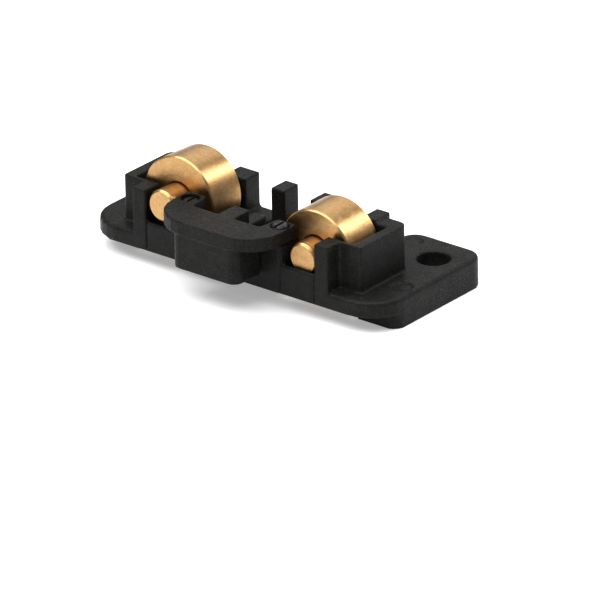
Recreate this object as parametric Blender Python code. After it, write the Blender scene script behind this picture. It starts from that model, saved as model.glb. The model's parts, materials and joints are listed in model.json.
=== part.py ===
"""Tandem sliding door roller: two brass wheels on pin axles in one moulded housing.

Frame: +X along the track, +Y from the nosed side to the eared side, +Z up.
The origin is under the middle of the whole roller, on the plane that its base rests on.
Lengths are in metres. A depth is measured from the housing's near face towards +Y.
"""

import math

import bmesh
import bpy
from mathutils import Matrix, Vector

MM = 0.001
MERGE = 0.001 * MM
LEVEL = 0.01 * MM

# Running gear
WHEEL_DIAMETER = 12.7 * MM
WHEEL_WIDTH = 6.5 * MM
WHEEL_EDGE = 0.35 * MM
WHEEL_SPACING = 25.2 * MM
WHEEL_DEPTH = 3.85 * MM
AXLE_DIAMETER = 4.76 * MM
AXLE_LENGTH = 12.5 * MM
AXLE_EDGE = 0.3 * MM
BORE_CLEARANCE = 0.15 * MM
FLOOR_CLEARANCE = 1.9 * MM
LEFT_LIFT = 1.4 * MM
LEFT_TILT = math.radians(3.0)
LEFT_SHIFT = 0.8 * MM
LEFT_INWARD = 0.2 * MM

# Housing. The rebate sets the foot back under the near side.
PLATE_THICKNESS = 4.7 * MM
REBATE_HEIGHT = 2.3 * MM
REBATE_DEPTH = 3.8 * MM
REBATE_CORNER = 1.8 * MM
PLATE_EDGE = 0.5 * MM
END_MARGIN = 5.4 * MM
NEAR_CORNER = 5.6 * MM
FAR_CORNER = 2.6 * MM
EAR_LENGTH = 13.3 * MM
EAR_WIDTH = 9.9 * MM
WALL_TOP = 11.65 * MM
PRONG_TOP = 12.05 * MM
END_WALL = 1.75 * MM
NEAR_MARGIN = 2.75 * MM
POCKET_SIDE_PLAY = 0.45 * MM
POCKET_END_PLAY = 0.85 * MM
BOX_FAR_WALL = 2.7 * MM
BOX_CORNER = 1.3 * MM
FAR_WALL = 3.5 * MM
PRONG_WIDTH = 3.4 * MM
RIB_LENGTH = 2.4 * MM
CORE_HEIGHT = 9.7 * MM
WEB_LENGTH = 2.4 * MM
WEB_REACH = 3.6 * MM
INNER_PRONG_LENGTH = 3.6 * MM
GROOVE_WIDTH = 0.2 * MM
GROOVE_DEPTH = 0.3 * MM
GROOVE_FOOT = 0.4 * MM

# Axle slots
SLOT_INNER_PLAY = 0.72 * MM
SLOT_OUTER_PLAY = 0.35 * MM
SLOT_SEAT_PLAY = 0.3 * MM
LIP_THICKNESS = 0.7 * MM
LIP_RISE = 1.25 * MM

# Screw holes in the ears and the two shallow moulding marks at each end
MOUNT_HOLE_DIAMETER = 4.8 * MM
MOUNT_HOLE_FROM_END = 4.8 * MM
MOUNT_HOLE_FROM_EDGE = 5.8 * MM
MARK_DEPTH = 0.15 * MM
NEAR_MARK_DIAMETER = 3.2 * MM
NEAR_MARK_FROM_END = 2.4 * MM
NEAR_MARK_DEPTH_Y = 8.0 * MM
FAR_MARK_DIAMETER = 2.7 * MM
FAR_MARK_FROM_END = 10.7 * MM
FAR_MARK_FROM_EDGE = 2.9 * MM

# Front cap and its screws
CAP_REACH = 6.1 * MM
CAP_THICKNESS = 2.05 * MM
CAP_OVERHANG = 0.3 * MM
CAP_CORNER = 5.6 * MM
CAP_BACK_GAP = 0.75 * MM
CAP_NOTCH_DEPTH = 0.55 * MM
TONGUE_LENGTH = 2.8 * MM
NOSE_LENGTH = 11.8 * MM
NOSE_CORNER = 1.4 * MM
NOSE_BOTTOM = 4.6 * MM
SCREW_FROM_CAP_END = 1.65 * MM
SCREW_DEPTH = 1.5 * MM
SCREW_HEAD_DIAMETER = 2.5 * MM
SCREW_HEAD_HEIGHT = 0.9 * MM
SCREW_SHANK_DIAMETER = 1.3 * MM
SCREW_LENGTH = 5.2 * MM
SCREW_SLOT_WIDTH = 0.4 * MM
SCREW_SLOT_DEPTH = 0.4 * MM
RIGHT_HEAD_PROUD = 0.25 * MM
LEFT_HEAD_SUNK = 0.35 * MM
GAP = 0.3 * MM

# Worked out from the sizes above
WHEEL_X = WHEEL_SPACING / 2
WHEEL_RADIUS = WHEEL_DIAMETER / 2
AXLE_RADIUS = AXLE_DIAMETER / 2
AXLE_Z = WHEEL_RADIUS + FLOOR_CLEARANCE
WHEEL_MIDDLE = WHEEL_DEPTH + WHEEL_WIDTH / 2
POCKET_NEAR = WHEEL_DEPTH - POCKET_SIDE_PLAY
POCKET_FAR = WHEEL_DEPTH + WHEEL_WIDTH + POCKET_SIDE_PLAY
POCKET_INNER = WHEEL_X - WHEEL_RADIUS - POCKET_SIDE_PLAY
POCKET_OUTER = WHEEL_X + WHEEL_RADIUS + POCKET_END_PLAY
BOX_END = POCKET_OUTER + END_WALL
PLATE_END = BOX_END + END_MARGIN
BODY_DEPTH = POCKET_FAR + FAR_WALL
PLATE_DEPTH = BODY_DEPTH + EAR_WIDTH
NEAR_Y = -(PLATE_DEPTH - CAP_REACH) / 2
SLOT_INNER = WHEEL_X - AXLE_RADIUS - SLOT_INNER_PLAY
SLOT_OUTER = WHEEL_X + AXLE_RADIUS + SLOT_OUTER_PLAY
SLOT_FLOOR = AXLE_Z - AXLE_RADIUS - SLOT_SEAT_PLAY
LIP_TOP = SLOT_FLOOR + LIP_RISE
CAP_HALF = SLOT_INNER + CAP_OVERHANG
CAP_BOTTOM = CORE_HEIGHT + GAP
CAP_TOP = CAP_BOTTOM + CAP_THICKNESS
CAP_BACK = WHEEL_DEPTH - CAP_BACK_GAP
SCREW_X = CAP_HALF - SCREW_FROM_CAP_END
SHANK_RADIUS = SCREW_SHANK_DIAMETER / 2
HEAD_RADIUS = SCREW_HEAD_DIAMETER / 2
ABOVE = WALL_TOP + PRONG_TOP
PLATE_MIDDLE = (REBATE_HEIGHT + PLATE_THICKNESS) / 2


def clear_scene():
    for item in list(bpy.data.objects):
        bpy.data.objects.remove(item, do_unlink=True)


def material(name, colour, roughness, metallic=0.0):
    made = bpy.data.materials.new(name)
    made.use_nodes = True
    shader = made.node_tree.nodes["Principled BSDF"]
    shader.inputs["Base Color"].default_value = (*colour, 1.0)
    shader.inputs["Roughness"].default_value = roughness
    shader.inputs["Metallic"].default_value = metallic
    return made


def mesh_object(name, shape):
    """An object of the scene that holds the bmesh shape, with its faces pointing out."""
    bmesh.ops.recalc_face_normals(shape, faces=shape.faces[:])
    mesh = bpy.data.meshes.new(name)
    shape.to_mesh(mesh)
    shape.free()
    made = bpy.data.objects.new(name, mesh)
    bpy.context.scene.collection.objects.link(made)
    return made


def rounded(corners, steps=6):
    """The outline through corners (x, depth, radius), each turned by an arc of its radius."""
    outline = []
    for i, (x, depth, radius) in enumerate(corners):
        here = Vector((x, depth))
        before = (Vector(corners[i - 1][:2]) - here).normalized()
        after = (Vector(corners[(i + 1) % len(corners)][:2]) - here).normalized()
        if radius <= 0:
            outline.append(here)
            continue
        half = before.angle(after) / 2
        middle = here + (before + after).normalized() * radius / math.sin(half)
        first = here + before * radius / math.tan(half) - middle
        last = here + after * radius / math.tan(half) - middle
        turn = first.angle_signed(last)
        for step in range(steps + 1):
            outline.append(middle + Matrix.Rotation(-turn * step / steps, 2) @ first)
    return outline


def prism(name, outline, bottom, top):
    """A closed prism over the outline, whose second coordinate is a depth."""
    shape = bmesh.new()
    base = [shape.verts.new((point[0], NEAR_Y + point[1], bottom)) for point in outline]
    floor = shape.faces.new(base)
    grown = bmesh.ops.extrude_face_region(shape, geom=[floor])
    risen = [item for item in grown["geom"] if isinstance(item, bmesh.types.BMVert)]
    bmesh.ops.translate(shape, verts=risen, vec=(0, 0, top - bottom))
    return mesh_object(name, shape)


def bevel_top(made, width, segments=3):
    """Rounds the rim of a prism's top face."""
    shape = bmesh.new()
    shape.from_mesh(made.data)
    top = max(vertex.co.z for vertex in shape.verts)
    rim = [edge for edge in shape.edges if all(top - end.co.z < LEVEL for end in edge.verts)]
    bmesh.ops.bevel(shape, geom=rim, offset=width, segments=segments, profile=0.5, affect="EDGES")
    shape.to_mesh(made.data)
    shape.free()


def block(name, x_range, depth_range, z_range):
    x0, x1 = sorted(x_range)
    outline = [(x0, depth_range[0]), (x1, depth_range[0]), (x1, depth_range[1]), (x0, depth_range[1])]
    return prism(name, outline, *z_range)


def upright_cylinder(name, x, depth, radius, bottom, top, segments=32):
    outline = []
    for i in range(segments):
        angle = 2 * math.pi * i / segments
        outline.append((x + radius * math.cos(angle), depth + radius * math.sin(angle)))
    return prism(name, outline, bottom, top)


def combine(target, tool, operation):
    """Adds or takes the tool, which stays in the scene as a hidden wire guide.

    The solver is MANIFOLD because many faces here are flush, where EXACT leaves open edges.
    """
    tool.hide_render = True
    tool.display_type = "WIRE"
    step = target.modifiers.new(tool.name, "BOOLEAN")
    step.operation = operation
    step.solver = "MANIFOLD"
    step.object = tool


def turned(name, profile, segments):
    """A solid of revolution about the local Y axis, through profile points (radius, y)."""
    shape = bmesh.new()
    rings = []
    for radius, y in profile:
        ring = []
        for i in range(segments):
            angle = 2 * math.pi * i / segments
            ring.append(shape.verts.new((radius * math.cos(angle), y, radius * math.sin(angle))))
        rings.append(ring)
    for ring, following in zip(rings, rings[1:] + rings[:1]):
        for i in range(segments):
            j = (i + 1) % segments
            shape.faces.new((ring[i], ring[j], following[j], following[i]))
    return mesh_object(name, shape)


def shade_round(made, degrees=35):
    made.data.shade_smooth()
    made.data.set_sharp_from_angle(angle=math.radians(degrees))


def plate_outline(near, corner):
    """Two near corners at a depth, and two ears that reach past the body at the far corners."""
    ear_inner = PLATE_END - EAR_LENGTH
    half = [
        (PLATE_END, near, corner),
        (PLATE_END, PLATE_DEPTH, FAR_CORNER),
        (ear_inner, PLATE_DEPTH, FAR_CORNER),
        (ear_inner, BODY_DEPTH, 0),
    ]
    mirrored = [(-x, depth, radius) for x, depth, radius in reversed(half)]
    return rounded(half + mirrored)


def housing_sides(body, side):
    """What the housing has at both ends: box, rib, walls and prongs, then the cuts."""
    name = "right" if side > 0 else "left"

    box_outline = [
        (side * WHEEL_X, NEAR_MARGIN, 0),
        (side * BOX_END, NEAR_MARGIN, GAP),
        (side * BOX_END, POCKET_FAR + BOX_FAR_WALL, BOX_CORNER),
        (side * WHEEL_X, POCKET_FAR + BOX_FAR_WALL, 0),
    ]
    added = [
        prism(f"{name}_box", rounded(box_outline), PLATE_MIDDLE, WALL_TOP),
        block(
            f"{name}_rib",
            (side * SLOT_OUTER, side * (SLOT_OUTER + RIB_LENGTH)),
            (0, POCKET_NEAR),
            (PLATE_MIDDLE, WALL_TOP),
        ),
        block(
            f"{name}_far_outer_prong",
            (side * SLOT_OUTER, side * (SLOT_OUTER + RIB_LENGTH)),
            (BODY_DEPTH - PRONG_WIDTH, BODY_DEPTH),
            (PLATE_MIDDLE, PRONG_TOP),
        ),
        block(
            f"{name}_far_inner_prong",
            (side * (SLOT_INNER - INNER_PRONG_LENGTH), side * SLOT_INNER),
            (BODY_DEPTH - PRONG_WIDTH, BODY_DEPTH),
            (PLATE_MIDDLE, PRONG_TOP),
        ),
    ]
    for tool in added:
        combine(body, tool, "UNION")

    slot = (side * SLOT_INNER, side * SLOT_OUTER)
    cut = [
        block(
            f"{name}_wheel_pocket",
            (side * POCKET_INNER, side * POCKET_OUTER),
            (POCKET_NEAR, POCKET_FAR),
            (-PLATE_THICKNESS, ABOVE),
        ),
        block(
            f"{name}_axle_slot",
            slot,
            (LIP_THICKNESS, BODY_DEPTH - LIP_THICKNESS),
            (SLOT_FLOOR, ABOVE),
        ),
        block(f"{name}_lip_gap", slot, (-GAP, BODY_DEPTH + GAP), (LIP_TOP, ABOVE)),
        block(
            f"{name}_rib_groove",
            (side * (SLOT_OUTER - GROOVE_WIDTH), side * SLOT_OUTER),
            (-GAP, GROOVE_DEPTH),
            (REBATE_HEIGHT + GROOVE_FOOT, ABOVE),
        ),
        block(
            f"{name}_core_groove",
            (side * (SLOT_INNER - 2 * GROOVE_WIDTH), side * (SLOT_INNER - GROOVE_WIDTH)),
            (-GAP, GROOVE_DEPTH),
            (REBATE_HEIGHT + GROOVE_FOOT, ABOVE),
        ),
        upright_cylinder(
            f"{name}_mount_hole",
            side * (PLATE_END - MOUNT_HOLE_FROM_END),
            PLATE_DEPTH - MOUNT_HOLE_FROM_EDGE,
            MOUNT_HOLE_DIAMETER / 2,
            -PLATE_THICKNESS,
            ABOVE,
        ),
        upright_cylinder(
            f"{name}_near_mark",
            side * (PLATE_END - NEAR_MARK_FROM_END),
            NEAR_MARK_DEPTH_Y,
            NEAR_MARK_DIAMETER / 2,
            PLATE_THICKNESS - MARK_DEPTH,
            ABOVE,
            segments=20,
        ),
        upright_cylinder(
            f"{name}_far_mark",
            side * (PLATE_END - FAR_MARK_FROM_END),
            PLATE_DEPTH - FAR_MARK_FROM_EDGE,
            FAR_MARK_DIAMETER / 2,
            PLATE_THICKNESS - MARK_DEPTH,
            ABOVE,
            segments=20,
        ),
        upright_cylinder(
            f"{name}_screw_bore",
            side * SCREW_X,
            SCREW_DEPTH,
            SHANK_RADIUS + GAP,
            CAP_TOP - SCREW_HEAD_HEIGHT - LEFT_HEAD_SUNK - SCREW_LENGTH - GAP,
            ABOVE,
            segments=16,
        ),
    ]
    for tool in cut:
        combine(body, tool, "DIFFERENCE")


def make_housing(plastic):
    """Plate on a foot that is set back at the near side, low walls, core and web, and two ends."""
    wall_end = SLOT_OUTER + RIB_LENGTH
    body = prism("housing", plate_outline(0, NEAR_CORNER), REBATE_HEIGHT, PLATE_THICKNESS)
    bevel_top(body, PLATE_EDGE)
    foot = prism("foot", plate_outline(REBATE_DEPTH, REBATE_CORNER), 0, PLATE_MIDDLE)
    near_wall = block("near_low_wall", (-wall_end, wall_end), (0, POCKET_NEAR), (PLATE_MIDDLE, LIP_TOP))
    far_wall = block("far_low_wall", (-wall_end, wall_end), (POCKET_FAR, BODY_DEPTH), (PLATE_MIDDLE, LIP_TOP))
    core = block("core", (-SLOT_INNER, SLOT_INNER), (0, POCKET_NEAR), (PLATE_MIDDLE, CORE_HEIGHT))
    web = block(
        "web",
        (-WEB_LENGTH / 2, WEB_LENGTH / 2),
        (GAP, POCKET_NEAR + WEB_REACH),
        (PLATE_MIDDLE, CORE_HEIGHT),
    )
    prong = block(
        "middle_prong",
        (-WEB_LENGTH / 2, WEB_LENGTH / 2),
        (BODY_DEPTH - PRONG_WIDTH, BODY_DEPTH),
        (PLATE_MIDDLE, PRONG_TOP),
    )
    for tool in (foot, near_wall, far_wall, core, web, prong):
        combine(body, tool, "UNION")
    for side in (-1, 1):
        housing_sides(body, side)
    body.data.materials.append(plastic)
    return body


def make_cap(plastic):
    """A flange with round near corners, a tongue between two screw bosses, and a nose below."""
    notch_edge = TONGUE_LENGTH / 2
    boss_inner = SCREW_X - HEAD_RADIUS - GAP
    half = [
        (CAP_HALF, -CAP_REACH, CAP_CORNER),
        (CAP_HALF, CAP_BACK, GAP),
        (boss_inner, CAP_BACK, GAP),
        (boss_inner - CAP_NOTCH_DEPTH, -CAP_NOTCH_DEPTH, GAP),
        (notch_edge, -CAP_NOTCH_DEPTH, GAP),
        (notch_edge, CAP_BACK, GAP),
    ]
    mirrored = [(-x, depth, radius) for x, depth, radius in reversed(half)]
    cap = prism("front_cap", rounded(half + mirrored), CAP_BOTTOM, CAP_TOP)
    nose_outline = [
        (NOSE_LENGTH / 2, GAP - CAP_REACH, NOSE_CORNER),
        (NOSE_LENGTH / 2, -GAP, 0),
        (-NOSE_LENGTH / 2, -GAP, 0),
        (-NOSE_LENGTH / 2, GAP - CAP_REACH, NOSE_CORNER),
    ]
    nose = prism("nose", rounded(nose_outline), NOSE_BOTTOM, (CAP_BOTTOM + CAP_TOP) / 2)
    combine(cap, nose, "UNION")
    for name, side, head_top in (("left", -1, -LEFT_HEAD_SUNK), ("right", 1, RIGHT_HEAD_PROUD)):
        seat = CAP_TOP + head_top - SCREW_HEAD_HEIGHT - GAP
        place = (side * SCREW_X, SCREW_DEPTH)
        through = upright_cylinder(
            f"{name}_cap_hole", *place, SHANK_RADIUS + GAP, CAP_BOTTOM - GAP, ABOVE, segments=16
        )
        recess = upright_cylinder(
            f"{name}_head_recess", *place, HEAD_RADIUS + GAP / 2, seat, ABOVE, segments=24
        )
        combine(cap, through, "DIFFERENCE")
        combine(cap, recess, "DIFFERENCE")
    cap.data.materials.append(plastic)
    return cap


def make_screw(name, side, head_top, steel):
    """A pan head screw, its origin at the top of its head."""
    outline = [
        (0, 0),
        (HEAD_RADIUS - GAP, 0),
        (HEAD_RADIUS, -GAP),
        (HEAD_RADIUS, -SCREW_HEAD_HEIGHT),
        (SHANK_RADIUS, -SCREW_HEAD_HEIGHT),
        (SHANK_RADIUS, -SCREW_HEAD_HEIGHT - SCREW_LENGTH + SHANK_RADIUS),
        (0, -SCREW_HEAD_HEIGHT - SCREW_LENGTH),
    ]
    shape = bmesh.new()
    points = [shape.verts.new((radius, 0, z)) for radius, z in outline]
    edges = [shape.edges.new(pair) for pair in zip(points, points[1:])]
    bmesh.ops.spin(
        shape, geom=points + edges, cent=(0, 0, 0), axis=(0, 0, 1), angle=2 * math.pi, steps=20
    )
    bmesh.ops.remove_doubles(shape, verts=shape.verts[:], dist=MERGE)
    screw = mesh_object(name, shape)
    screw.location = (side * SCREW_X, NEAR_Y + SCREW_DEPTH, CAP_TOP + head_top)
    shade_round(screw)
    slot = block(
        f"{name}_driver_slot",
        (side * SCREW_X - SCREW_SLOT_WIDTH / 2, side * SCREW_X + SCREW_SLOT_WIDTH / 2),
        (SCREW_DEPTH - SCREW_HEAD_DIAMETER, SCREW_DEPTH + SCREW_HEAD_DIAMETER),
        (CAP_TOP + head_top - SCREW_SLOT_DEPTH, ABOVE),
    )
    combine(screw, slot, "DIFFERENCE")
    screw.data.materials.append(steel)
    return screw


def make_wheel(name, holder, brass):
    """A plain wheel about its own Y axis, in the middle of its width."""
    edge = WHEEL_WIDTH / 2
    bore = AXLE_RADIUS + BORE_CLEARANCE
    profile = [
        (bore, -edge),
        (WHEEL_RADIUS - WHEEL_EDGE, -edge),
        (WHEEL_RADIUS, -edge + WHEEL_EDGE),
        (WHEEL_RADIUS, edge - WHEEL_EDGE),
        (WHEEL_RADIUS - WHEEL_EDGE, edge),
        (bore, edge),
    ]
    wheel = turned(name, profile, segments=64)
    wheel.parent = holder
    wheel.data.materials.append(brass)
    shade_round(wheel)
    return wheel


def make_axle(name, holder, shift, brass):
    """A pin about the holder's Y axis. Shift moves it towards the near side."""
    near = LIP_THICKNESS + GAP / 2 - WHEEL_MIDDLE - shift
    far = near + AXLE_LENGTH
    shape = bmesh.new()
    bmesh.ops.create_cone(
        shape, cap_ends=True, segments=32, radius1=AXLE_RADIUS, radius2=AXLE_RADIUS, depth=AXLE_LENGTH
    )
    rims = [edge for edge in shape.edges if abs(edge.verts[0].co.z - edge.verts[1].co.z) < LEVEL]
    bmesh.ops.bevel(shape, geom=rims, offset=AXLE_EDGE, segments=1, affect="EDGES")
    bmesh.ops.transform(
        shape,
        matrix=Matrix.Translation((0, (near + far) / 2, 0)) @ Matrix.Rotation(math.pi / 2, 4, "X"),
        verts=shape.verts[:],
    )
    axle = mesh_object(name, shape)
    axle.parent = holder
    axle.data.materials.append(brass)
    shade_round(axle)
    return axle


def make_running_gear(name, side, inward, lift, tilt, shift, brass):
    """A wheel and its axle under one empty, which lies on their common axis."""
    holder = bpy.data.objects.new(f"{name}_centre", None)
    bpy.context.scene.collection.objects.link(holder)
    holder.location = (side * (WHEEL_X - inward), NEAR_Y + WHEEL_MIDDLE, AXLE_Z + lift)
    holder.rotation_euler = (-tilt, 0, 0)
    make_wheel(f"{name}_wheel", holder, brass)
    make_axle(f"{name}_axle", holder, shift, brass)


def main():
    clear_scene()
    plastic = material("black_moulded_plastic", (0.022, 0.022, 0.024), 0.55)
    brass = material("brass", (0.72, 0.46, 0.21), 0.38, 1.0)
    steel = material("blackened_steel", (0.05, 0.05, 0.055), 0.45, 1.0)
    make_housing(plastic)
    make_cap(plastic)
    make_screw("left_cap_screw", -1, -LEFT_HEAD_SUNK, steel)
    make_screw("right_cap_screw", 1, RIGHT_HEAD_PROUD, steel)
    make_running_gear("left", -1, LEFT_INWARD, LEFT_LIFT, LEFT_TILT, LEFT_SHIFT, brass)
    make_running_gear("right", 1, 0, 0, 0, 0, brass)


main()
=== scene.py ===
# %% [markdown]
# # A sliding door roller
# Two brass wheels turn on brass pins, and the pins lie in open slots of a black nylon moulding.
# The frame already holds every part at its true size and place. This script gives each one the
# surface that it has in the hand: rounded moulded edges, turned brass and blackened screws.

# %% Load the frame
import json
import math

import bmesh
import bpy
import numpy as np
from mathutils import Matrix, Vector


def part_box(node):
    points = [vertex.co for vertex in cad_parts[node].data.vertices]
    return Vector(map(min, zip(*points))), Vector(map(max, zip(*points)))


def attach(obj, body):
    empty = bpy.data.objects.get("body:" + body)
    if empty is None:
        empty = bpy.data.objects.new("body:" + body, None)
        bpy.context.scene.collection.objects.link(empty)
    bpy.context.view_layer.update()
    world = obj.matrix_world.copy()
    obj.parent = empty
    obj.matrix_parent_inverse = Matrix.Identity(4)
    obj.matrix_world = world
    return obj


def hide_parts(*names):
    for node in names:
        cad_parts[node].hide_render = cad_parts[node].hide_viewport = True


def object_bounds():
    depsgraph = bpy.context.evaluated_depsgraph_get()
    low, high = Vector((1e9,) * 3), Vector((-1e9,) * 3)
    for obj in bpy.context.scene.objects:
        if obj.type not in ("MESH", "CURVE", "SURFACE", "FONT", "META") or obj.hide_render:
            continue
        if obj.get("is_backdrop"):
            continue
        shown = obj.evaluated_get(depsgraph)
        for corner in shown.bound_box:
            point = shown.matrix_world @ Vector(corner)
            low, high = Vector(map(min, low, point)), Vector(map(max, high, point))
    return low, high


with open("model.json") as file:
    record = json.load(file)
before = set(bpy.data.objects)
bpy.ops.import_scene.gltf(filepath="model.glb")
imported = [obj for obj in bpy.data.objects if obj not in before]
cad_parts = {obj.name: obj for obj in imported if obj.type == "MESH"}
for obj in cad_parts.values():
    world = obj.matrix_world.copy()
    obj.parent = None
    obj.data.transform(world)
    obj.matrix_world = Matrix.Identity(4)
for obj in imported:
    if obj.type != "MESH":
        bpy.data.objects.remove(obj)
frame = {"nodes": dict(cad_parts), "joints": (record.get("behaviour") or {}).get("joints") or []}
cad_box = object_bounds()
scene = bpy.context.scene

MM = 0.001
nodes = frame["nodes"]
joints = {joint["name"]: joint for joint in frame["joints"]}
print("the part measures", [round(side / MM, 1) for side in cad_box[1] - cad_box[0]], "mm")


def placed(name, data):
    """A new object that shows this mesh, light or camera, linked into the scene."""
    made = bpy.data.objects.new(name, data)
    scene.collection.objects.link(made)
    return made


# %% [markdown]
# ## Sizes from the frame
# A wheel's place is its spin joint: a point on the axis, and the axis itself. Its radius is half
# of its box along X, which a tilt about X doesn't change. The right wheel and pin stand square to
# the frame, so their boxes along Y also give the width and the length that both sides share.

# %% Wheel and pin sizes


def side_of(node, way):
    """The length of the node's box along X, Y or Z, for a way of 0, 1 or 2."""
    low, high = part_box(node)
    return high[way] - low[way]


def middle_of(node):
    """The middle of the node's box, half way between its two corners."""
    low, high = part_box(node)
    return np.array((low + high) / 2)


WHEEL_RADIUS = side_of("right_wheel", 0) / 2
WHEEL_WIDTH = side_of("right_wheel", 1)
PIN_RADIUS = side_of("right_axle", 0) / 2
PIN_LENGTH = side_of("right_axle", 1)
BORE_CLEARANCE = 0.15 * MM
print(f"wheel: {2 * WHEEL_RADIUS / MM:.2f} mm across and {WHEEL_WIDTH / MM:.2f} mm wide")
print(f"pin: {2 * PIN_RADIUS / MM:.2f} mm across and {PIN_LENGTH / MM:.2f} mm long")

# %% [markdown]
# ## Camera
# The view is from the right and above, through a long lens, so the edges stay almost parallel.
# It aims at a point in front of the part, below and to the right of its middle, so the part comes
# out high and left in the frame. It also leans by one degree.

# %% Place the camera
AZIMUTH = math.radians(39.28)
ELEVATION = math.radians(24.63)
LEAN = math.radians(-1.0)
DISTANCE = 1.0956
FOCAL_LENGTH = 465.93
AIM = Vector((8.504, -3.872, -0.704)) * MM

toward_camera = Vector(
    (
        math.sin(AZIMUTH) * math.cos(ELEVATION),
        -math.cos(AZIMUTH) * math.cos(ELEVATION),
        math.sin(ELEVATION),
    )
)
upright = (-toward_camera).to_track_quat("-Z", "Y").to_matrix().to_4x4()
camera = placed("camera", bpy.data.cameras.new("camera"))
camera.data.lens = FOCAL_LENGTH
camera.data.sensor_width = 36
camera.data.clip_start = 0.1
camera.data.clip_end = 10
camera.matrix_world = (
    Matrix.Translation(AIM + toward_camera * DISTANCE) @ upright @ Matrix.Rotation(LEAN, 4, "Z")
)
scene.camera = camera
print("the camera stands at", [round(along, 3) for along in camera.matrix_world.translation], "m")

# %% [markdown]
# ## Floor and light
# Black plastic and brass show only what they mirror, so the light decides their look. One broad
# panel lies overhead and whitens the floor, which the near faces mirror. A wide, weak one behind
# the part is what the top faces mirror, since they are seen at a low angle. A small, strong one at
# the far right draws the bright band along each tread: that is where a surface that leans up and
# to the right by 45 degrees sends the line of sight. One at the near left does the same for the
# edges that lean up and towards the viewer. The floor and the world are white, and the floor
# glows a little, as a light table does, which keeps the shadow under the part pale.

# %% Build the studio
FLOOR_SIZE = 3.0
FLOOR_WHITE = (0.72, 0.72, 0.72, 1.0)
FLOOR_GLOW = 0.35
WORLD_STRENGTH = 0.22

scene.view_settings.view_transform = "Standard"
scene.world = bpy.data.worlds.new("studio")
scene.world.use_nodes = True
world_light = scene.world.node_tree.nodes["Background"]
world_light.inputs["Color"].default_value = (1.0, 1.0, 1.0, 1.0)
world_light.inputs["Strength"].default_value = WORLD_STRENGTH


def panel(name, azimuth, elevation, distance, size, watts):
    """A square area light that looks at the part from that direction, in degrees."""
    turn, rise = math.radians(azimuth), math.radians(elevation)
    away = Vector((math.sin(turn) * math.cos(rise), -math.cos(turn) * math.cos(rise), math.sin(rise)))
    light = bpy.data.lights.new(name, "AREA")
    light.size = size
    light.energy = watts
    lamp = placed(name, light)
    lamp.location = away * distance
    lamp.rotation_mode = "QUATERNION"
    lamp.rotation_quaternion = away.to_track_quat("Z", "Y")
    print(f"{name}: {size} m wide, {distance} m away, {watts} W")


panel("overhead_panel", -30, 81, 0.8, 1.0, 14.5)
panel("behind_panel", 208, 34, 0.7, 0.45, 0.7)
panel("tread_panel", 150, 35, 0.6, 0.16, 1.1)
panel("edge_panel", -52, 45, 0.5, 0.16, 0.35)

floor_mesh = bpy.data.meshes.new("floor")
corner = FLOOR_SIZE / 2
floor_mesh.from_pydata(
    [(-corner, -corner, 0), (corner, -corner, 0), (corner, corner, 0), (-corner, corner, 0)],
    [],
    [(0, 1, 2, 3)],
)
floor = placed("floor", floor_mesh)
floor.location.z = cad_box[0].z
floor_paint = bpy.data.materials.new("white_floor")
floor_paint.use_nodes = True
floor_shader = floor_paint.node_tree.nodes["Principled BSDF"]
floor_shader.inputs["Base Color"].default_value = FLOOR_WHITE
floor_shader.inputs["Roughness"].default_value = 0.9
floor_shader.inputs["Emission Color"].default_value = (1.0, 1.0, 1.0, 1.0)
floor_shader.inputs["Emission Strength"].default_value = FLOOR_GLOW
floor_mesh.materials.append(floor_paint)
floor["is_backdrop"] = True

# %% [markdown]
# ## Writing materials
# Every finish here is a Principled shader with some noise behind it. A few small helpers keep
# each recipe short: they start a material, add a node, make a noise, spread a noise between two
# colours or two values, mix in another colour, turn a height into a bump, and stretch a pattern.

# %% Helpers for node recipes


def new_finish(name, metallic=0.0, **sockets):
    """A material, its node tree and its shader. Sockets are constants, by their input name."""
    made = bpy.data.materials.new(name)
    made.use_nodes = True
    tree = made.node_tree
    shader = tree.nodes["Principled BSDF"]
    shader.inputs["Metallic"].default_value = metallic
    for socket, value in sockets.items():
        shader.inputs[socket.replace("_", " ")].default_value = value
    return made, tree, shader


def add_node(tree, kind, links=(), **settings):
    """A node with its settings, and its inputs linked as (input, output) pairs."""
    node = tree.nodes.new(kind)
    for key, value in settings.items():
        if hasattr(node, key):
            setattr(node, key, value)
        else:
            node.inputs[key.replace("_", " ")].default_value = value
    for name, output in links:
        tree.links.new(node.inputs[name], output)
    return node


def noise(tree, place, scale, detail=3.0, roughness=0.6):
    """Noise over a place. A scale of 1000 gives blotches about a millimetre across."""
    made = add_node(
        tree, "ShaderNodeTexNoise", [("Vector", place)], Scale=scale, Detail=detail, Roughness=roughness
    )
    return made.outputs["Fac"]


def spread(tree, fac, low, high, from_low=0.3, from_high=0.7):
    """Maps a factor onto low to high, which are both numbers or both colours."""
    if isinstance(low, float):
        made = add_node(
            tree,
            "ShaderNodeMapRange",
            [("Value", fac)],
            From_Min=from_low,
            From_Max=from_high,
            To_Min=low,
            To_Max=high,
        )
        return made.outputs["Result"]
    ramp = add_node(tree, "ShaderNodeValToRGB", [("Fac", fac)])
    ramp.color_ramp.elements[0].position = from_low
    ramp.color_ramp.elements[0].color = (*low, 1.0)
    ramp.color_ramp.elements[1].position = from_high
    ramp.color_ramp.elements[1].color = (*high, 1.0)
    return ramp.outputs["Color"]


def shaded(tree, colour, other, share):
    """A colour with that share of another one in it."""
    made = add_node(tree, "ShaderNodeMixRGB", [("Fac", share), ("Color1", colour)])
    made.inputs["Color2"].default_value = (*other, 1.0)
    return made.outputs["Color"]


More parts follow.
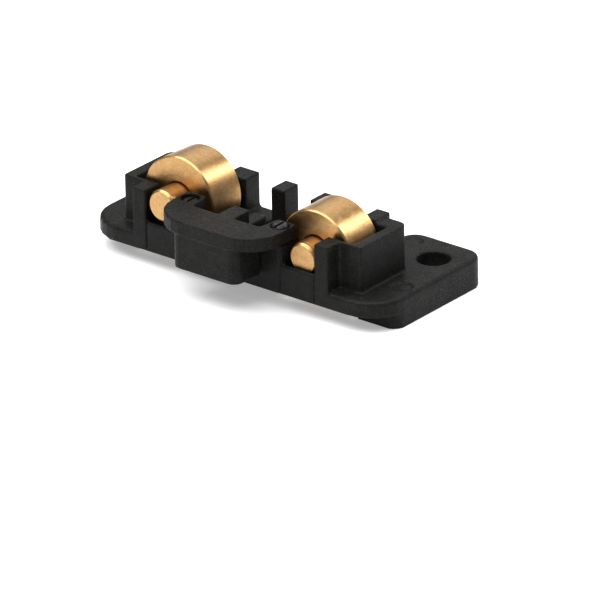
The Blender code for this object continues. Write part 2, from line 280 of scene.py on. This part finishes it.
def bump(tree, height, depth, normal=None):
    """Turns a height from 0 to 1 into a relief that is depth metres high."""
    links = [("Height", height)]
    if normal is not None:
        links.append(("Normal", normal))
    made = add_node(tree, "ShaderNodeBump", links, Strength=1.0, Distance=depth)
    return made.outputs["Normal"]


def stretched(tree, place, scale):
    """A place with each of its axes scaled by its own number."""
    made = add_node(tree, "ShaderNodeMapping", [("Vector", place)])
    made.inputs["Scale"].default_value = scale
    return made.outputs["Vector"]


# %% [markdown]
# ## Glass-filled nylon
# The housing and cap are moulded in black nylon that is filled with short glass fibres. The mould
# was spark eroded, which leaves a fine pebbled grain, and the fibres show as faint grey flecks
# and paler clouds where the melt ran. So three sizes of noise are used: clouds some millimetres
# across in the colour and the relief, a grain about a quarter of a millimetre across in the gloss
# and the relief, and the flecks, which are the few highest peaks of a finer noise.

# %% Moulded nylon


def moulded_nylon():
    made, tree, shader = new_finish("moulded_nylon", IOR=1.5, Specular_IOR_Level=0.085)
    place = add_node(tree, "ShaderNodeTexCoord").outputs["Object"]
    clouds = noise(tree, place, 420.0, detail=4.0)
    grain = noise(tree, place, 4200.0, detail=2.0, roughness=0.55)
    flecks = noise(tree, stretched(tree, place, (9000.0, 5200.0, 9000.0)), 1.0, detail=1.0)
    ground = spread(tree, clouds, (0.004, 0.004, 0.0038), (0.010, 0.0098, 0.0092))
    flecked = shaded(tree, ground, (0.09, 0.09, 0.086), spread(tree, flecks, 0.0, 0.45, 0.6, 0.74))
    tree.links.new(shader.inputs["Base Color"], flecked)
    tree.links.new(shader.inputs["Roughness"], spread(tree, grain, 0.34, 0.58))
    relief = bump(tree, clouds, 0.05 * MM)
    tree.links.new(shader.inputs["Normal"], bump(tree, grain, 0.06 * MM, relief))
    return made


nylon = moulded_nylon()
print(f"{nylon.name}: {len(nylon.node_tree.nodes)} nodes")

# %% [markdown]
# ## Turned brass
# The wheels and pins come off an automatic lathe. The tool leaves very fine rings on every face:
# round the tread, and round the bore on the sides. A ring pattern needs a coordinate that follows
# the surface, so each turned mesh carries the attribute *lathe*. It holds the direction from the
# axis, much reduced, and the distance along the profile. Noise read there is drawn out round the
# axis, and it has no seam, because the direction comes back to itself after a turn.

# %% Brass


def turned_brass():
    made, tree, shader = new_finish("turned_brass", metallic=1.0)
    place = add_node(tree, "ShaderNodeTexCoord").outputs["Object"]
    turned = add_node(tree, "ShaderNodeAttribute", attribute_name="lathe").outputs["Vector"]
    rings = noise(tree, turned, 5.0, detail=5.0, roughness=0.75)
    stains = noise(tree, place, 1100.0, detail=5.0, roughness=0.7)
    pits = noise(tree, place, 5200.0, detail=2.0)
    golden = spread(tree, stains, (0.43, 0.24, 0.09), (0.57, 0.36, 0.16))
    pitted = shaded(tree, golden, (0.22, 0.10, 0.03), spread(tree, pits, 0.55, 0.0, 0.3, 0.48))
    tree.links.new(shader.inputs["Base Color"], pitted)
    tree.links.new(shader.inputs["Roughness"], spread(tree, rings, 0.26, 0.44))
    grooves = bump(tree, rings, 0.009 * MM)
    tree.links.new(shader.inputs["Normal"], bump(tree, pits, 0.008 * MM, grooves))
    return made


brass = turned_brass()
print(f"{brass.name}: {len(brass.node_tree.nodes)} nodes")

# %% [markdown]
# ## Blackened steel
# The two small screws are steel with a black oxide. It is thin, so it wears to grey metal in
# blotches, and it is a little oily.

# %% Screw finish


def black_oxide():
    made, tree, shader = new_finish("black_oxide", metallic=1.0)
    place = add_node(tree, "ShaderNodeTexCoord").outputs["Object"]
    wear = noise(tree, place, 1600.0, detail=4.0)
    blotched = spread(tree, wear, (0.012, 0.012, 0.013), (0.05, 0.05, 0.052))
    tree.links.new(shader.inputs["Base Color"], blotched)
    tree.links.new(shader.inputs["Roughness"], spread(tree, wear, 0.5, 0.33))
    tree.links.new(shader.inputs["Normal"], bump(tree, wear, 0.01 * MM))
    return made


oxide = black_oxide()
print(f"{oxide.name}: {len(oxide.node_tree.nodes)} nodes")

# %% [markdown]
# ## Wheels and pins on the lathe
# A turned part is its profile carried round an axis. The profile is a list of corners (radius,
# distance along the axis), and a real one has no sharp corner, so each corner is replaced by a
# small curve, and all corners are worked out in one array. A further point on each side of the
# curve holds the flat stretch flat under smooth shading.

# %% Soften a profile


def soften(corners, reach, steps=6, hold=1.6):
    """Each corner (r, y) of a closed profile as a row of points on a small curve round it.

    The curve starts reach before the corner and ends reach after it. In between it is
    (1 - t)^2 start + 2 t (1 - t) corner + t^2 end, with t from 0 to 1. The first and last point
    of a row lie hold times as far from the corner.
    """
    here = np.array(corners, float)
    before, after = np.roll(here, 1, axis=0) - here, np.roll(here, -1, axis=0) - here
    before *= (reach / np.linalg.norm(before, axis=1))[:, None]
    after *= (reach / np.linalg.norm(after, axis=1))[:, None]
    corner = here[:, None]
    start, end = corner + before[:, None], corner + after[:, None]
    t = np.linspace(0, 1, steps)[None, :, None]
    curve = (1 - t) ** 2 * start + 2 * t * (1 - t) * corner + t**2 * end
    first, last = corner + hold * before[:, None], corner + hold * after[:, None]
    return np.concatenate([first, curve, last], axis=1)


# %% Carry a profile round an axis
TURNS = 192
RING_SPREAD = 0.3
SAME_POINT = 0.0001 * MM


def lathe(name, profile, centre, axis, body):
    """A closed mesh from a profile of (r, y) points, carried once round the axis.

    Point (i, j) is centre + y_j axis + r_j (cos a_i across + sin a_i up), with a_i = 2 pi i / TURNS.
    The attribute lathe is (cos a_i, sin a_i) times RING_SPREAD, then the length of the profile up
    to point j in millimetres. A profile that ends on the axis leaves one loose edge there, which
    is deleted.
    """
    axis = np.array(axis, float) / np.linalg.norm(axis)
    across = np.array((1.0, 0.0, 0.0))
    up = np.cross(across, axis)
    angle = 2 * np.pi * np.arange(TURNS) / TURNS
    radial = np.cos(angle)[:, None] * across + np.sin(angle)[:, None] * up
    points = centre + profile[None, :, 1:] * axis + profile[None, :, :1] * radial[:, None]

    count = len(profile)
    i, j = np.meshgrid(np.arange(TURNS), np.arange(count), indexing="ij")
    row, next_row, next_j = i * count, (i + 1) % TURNS * count, (j + 1) % count
    faces = np.stack([row + j, row + next_j, next_row + next_j, next_row + j], -1)

    mesh = bpy.data.meshes.new(name)
    mesh.from_pydata(points.reshape(-1, 3), [], faces.reshape(-1, 4))
    steps = np.linalg.norm(np.diff(profile, axis=0), axis=1)
    along = np.concatenate([[0.0], np.cumsum(steps)]) / MM
    rings = np.empty((TURNS, count, 3))
    rings[..., :2] = RING_SPREAD * np.stack([np.cos(angle), np.sin(angle)], -1)[:, None]
    rings[..., 2] = along
    held = mesh.attributes.new("lathe", "FLOAT_VECTOR", "POINT")
    held.data.foreach_set("vector", rings.astype(np.float32).ravel())

    shape = bmesh.new()
    shape.from_mesh(mesh)
    bmesh.ops.remove_doubles(shape, verts=shape.verts[:], dist=SAME_POINT)
    loose = [edge for edge in shape.edges if edge.is_wire]
    bmesh.ops.delete(shape, geom=loose, context="EDGES")
    bmesh.ops.recalc_face_normals(shape, faces=shape.faces[:])
    shape.to_mesh(mesh)
    shape.free()
    mesh.shade_smooth()
    mesh.materials.append(brass)
    piece = placed(name, mesh)
    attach(piece, body)
    print(f"{name}: {len(mesh.vertices)} points")
    return piece


# %% [markdown]
# The wheel's tread has a flat bevel at each edge, and its bore a smaller one. The bore is a
# closed part of the profile, so the mesh is a ring with no open edge. Faint steps of a few
# hundredths of a millimetre on the sides show where the tool changed its feed.

# %% Wheels
WHEEL_BEVEL = 0.22 * MM
BORE_BEVEL = 0.2 * MM
HUB_WALL = 1.1 * MM
FEED_STEP = 0.03 * MM
CORNER_REACH = 0.012 * MM
half_width = WHEEL_WIDTH / 2
bore = PIN_RADIUS + BORE_CLEARANCE
hub_end = bore + HUB_WALL
one_side = [
    (bore, -half_width + BORE_BEVEL),
    (bore + BORE_BEVEL, -half_width + FEED_STEP),
    (hub_end, -half_width + FEED_STEP),
    (hub_end + FEED_STEP, -half_width),
    (WHEEL_RADIUS - WHEEL_BEVEL, -half_width),
    (WHEEL_RADIUS, -half_width + WHEEL_BEVEL),
]
wheel_corners = one_side + [(r, -y) for r, y in reversed(one_side)]
wheel_profile = soften(wheel_corners, CORNER_REACH).reshape(-1, 2)

for side in ("left", "right"):
    spin = joints[f"{side}_wheel_spin"]
    centre = np.array(spin["pos_m"])
    wheel = lathe(f"{side}_wheel_turned", wheel_profile, centre, spin["axis"], f"{side}_wheel_body")
    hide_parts(f"{side}_wheel")

# %% [markdown]
# A pin is a plain bar with a small bevel at each end. Its profile starts and ends on the axis,
# where the ring of points meets in one. Those two corners are left out of the softening, so the
# ends stay flat to the middle.

# %% Pins
PIN_BEVEL = 0.3 * MM
half_length = PIN_LENGTH / 2
near_half = [
    (0.0, -half_length),
    (PIN_RADIUS - PIN_BEVEL, -half_length),
    (PIN_RADIUS, -half_length + PIN_BEVEL),
]
pin_corners = near_half + [(r, -y) for r, y in reversed(near_half)]
pin_bends = soften(pin_corners, CORNER_REACH)[1:-1].reshape(-1, 2)
pin_profile = np.concatenate([pin_corners[:1], pin_bends, pin_corners[-1:]])

for side in ("left", "right"):
    spin = joints[f"{side}_wheel_spin"]
    centre = middle_of(f"{side}_axle")
    pin = lathe(f"{side}_axle_turned", pin_profile, centre, spin["axis"], f"{side}_axle_body")
    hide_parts(f"{side}_axle")

# %% [markdown]
# ## Moulded edges
# The CAD solids of the two mouldings have the right shape, but their edges are perfectly sharp,
# and no mould makes such an edge. A bevel would have to squeeze past grooves that are narrower
# than itself, so the rounding is made another way. A voxel remesh lays a fine skin of even quads
# over the solid. Then each point moves part of the way to the middle of its neighbours, a few
# times over: on a flat face it stays where it is, and at an edge it sinks in, which rounds outer
# edges and fills inner ones as in the mould. These rounded edges catch the pale lines of light.

# %% Round the two mouldings
HOUSING_VOXEL = 0.215 * MM
HOUSING_PASSES = 3
CAP_VOXEL = 0.15 * MM
CAP_PASSES = 4


def moulded_copy(node, voxel, passes):
    """The CAD node's skin in quads as wide as a voxel, with its edges worn round by the passes.

    In each pass a point moves half of the way to the mean of its neighbours.
    """
    mesh = nodes[node].data.copy()
    mesh.materials.clear()
    piece = placed(f"{node}_moulded", mesh)
    skin = piece.modifiers.new("voxel_skin", "REMESH")
    skin.mode = "VOXEL"
    skin.voxel_size = voxel
    skin.use_smooth_shade = True
    wear = piece.modifiers.new("edge_wear", "SMOOTH")
    wear.factor = 0.5
    wear.iterations = passes
    graph = bpy.context.evaluated_depsgraph_get()
    piece.data = bpy.data.meshes.new_from_object(piece.evaluated_get(graph))
    piece.modifiers.clear()
    piece.data.name = piece.name
    piece.data.materials.clear()
    piece.data.materials.append(nylon)
    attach(piece, "frame")
    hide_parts(node)
    print(f"{piece.name}: {len(piece.data.polygons)} quads")
    return piece


housing = moulded_copy("housing", HOUSING_VOXEL, HOUSING_PASSES)
moulded_copy("front_cap", CAP_VOXEL, CAP_PASSES)

# %% [markdown]
# The voxels are as wide as the finest details, so those come out weak and are pressed in again.
# On each ear, two round marks show where an ejector pin or a plug sat in the mould. On the near
# wall, four upright lines show where the slides that formed the pin slots met the core.

# %% Press in the marks and the lines
PLATE_TOP = 4.7 * MM
SKIN = 0.35 * MM
MARK_DEPTH = 0.2 * MM
MARK_BLUR = 0.12 * MM
# A mark's distance from the end of the plate and from its far edge, and its radius.
NEAR_MARK = (2.4 * MM, 16.2 * MM, 1.6 * MM)
FAR_MARK = (10.7 * MM, 2.9 * MM, 1.35 * MM)
# How far each line stands out from its wheel's axis, towards the plate's end.
LINE_AWAY = (2.63 * MM, -3.4 * MM)
LINE_REACH = 0.13 * MM
LINE_DEPTH = 0.24 * MM
LINE_FOOT = 2.7 * MM

points = np.empty(len(housing.data.vertices) * 3)
housing.data.vertices.foreach_get("co", points)
points = points.reshape(-1, 3)
x, y, z = points.T
high_corner = np.array(cad_box[1])

# A mark lowers the plate's top by its depth times a smooth step that falls to 0 across its rim.
for from_end, from_edge, radius in (NEAR_MARK, FAR_MARK):
    away = np.hypot(np.abs(x) - (high_corner[0] - from_end), y - (high_corner[1] - from_edge))
    inside = np.clip((radius + MARK_BLUR - away) / (2 * MARK_BLUR), 0, 1)
    step = inside**2 * (3 - 2 * inside)
    pressed = (np.abs(z - PLATE_TOP) < SKIN) & (step > 0)
    z[pressed] = PLATE_TOP - MARK_DEPTH * step[pressed]

# A line draws the points of the near wall that lie within its reach to its middle, and inwards.
near_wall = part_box("housing")[0].y
wheel_place = abs(joints["right_wheel_spin"]["pos_m"][0])
on_wall = (np.abs(y - near_wall) < SKIN) & (z > LINE_FOOT)
for line_away in LINE_AWAY:
    line = wheel_place + line_away
    drawn = on_wall & (np.abs(np.abs(x) - line) < LINE_REACH)
    x[drawn] = np.sign(x[drawn]) * line
    y[drawn] += LINE_DEPTH
housing.data.vertices.foreach_set("co", points.ravel())
housing.data.update()
print("the marks and lines moved the skin by up to", MARK_DEPTH / MM, "and", LINE_DEPTH / MM, "mm")

# %% [markdown]
# The two screws are small and simple, so a plain bevel on a cleaned copy rounds them. Triangles
# are first merged where they lie in one plane, because a bevel works on whole faces.

# %% Round the screws
SCREW_BEVEL = 0.05 * MM
BEVEL_SEGMENTS = 3
SHARP_ANGLE = math.radians(30)
FLAT_ANGLE = math.radians(0.5)
CAD_MERGE = 0.001 * MM


def bevelled_copy(node):
    """A copy of a CAD node with its flat faces made whole, and each edge over SHARP_ANGLE bevelled."""
    mesh = bpy.data.meshes.new(f"{node}_blackened")
    shape = bmesh.new()
    shape.from_mesh(nodes[node].data)
    bmesh.ops.remove_doubles(shape, verts=shape.verts[:], dist=CAD_MERGE)
    bmesh.ops.dissolve_limit(shape, angle_limit=FLAT_ANGLE, verts=shape.verts[:], edges=shape.edges[:])
    bmesh.ops.recalc_face_normals(shape, faces=shape.faces[:])
    shape.to_mesh(mesh)
    shape.free()
    mesh.materials.append(oxide)
    mesh.polygons.foreach_set("material_index", np.zeros(len(mesh.polygons), np.int32))
    mesh.shade_smooth()
    piece = placed(f"{node}_blackened", mesh)
    bevel = piece.modifiers.new("edge_rounding", "BEVEL")
    bevel.width = SCREW_BEVEL
    bevel.segments = BEVEL_SEGMENTS
    bevel.limit_method = "ANGLE"
    bevel.angle_limit = SHARP_ANGLE
    bevel.harden_normals = True
    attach(piece, "frame")
    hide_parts(node)
    print(f"{piece.name}: {len(mesh.polygons)} faces before the bevel")


bevelled_copy("left_cap_screw")
bevelled_copy("right_cap_screw")

# %% Print the two boxes
boxes = {"cad": [list(corner) for corner in cad_box], "visual": [list(corner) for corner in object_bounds()]}
for model, corners in boxes.items():
    print(f"{model} box in mm:", [[round(along / MM, 2) for along in corner] for corner in corners])
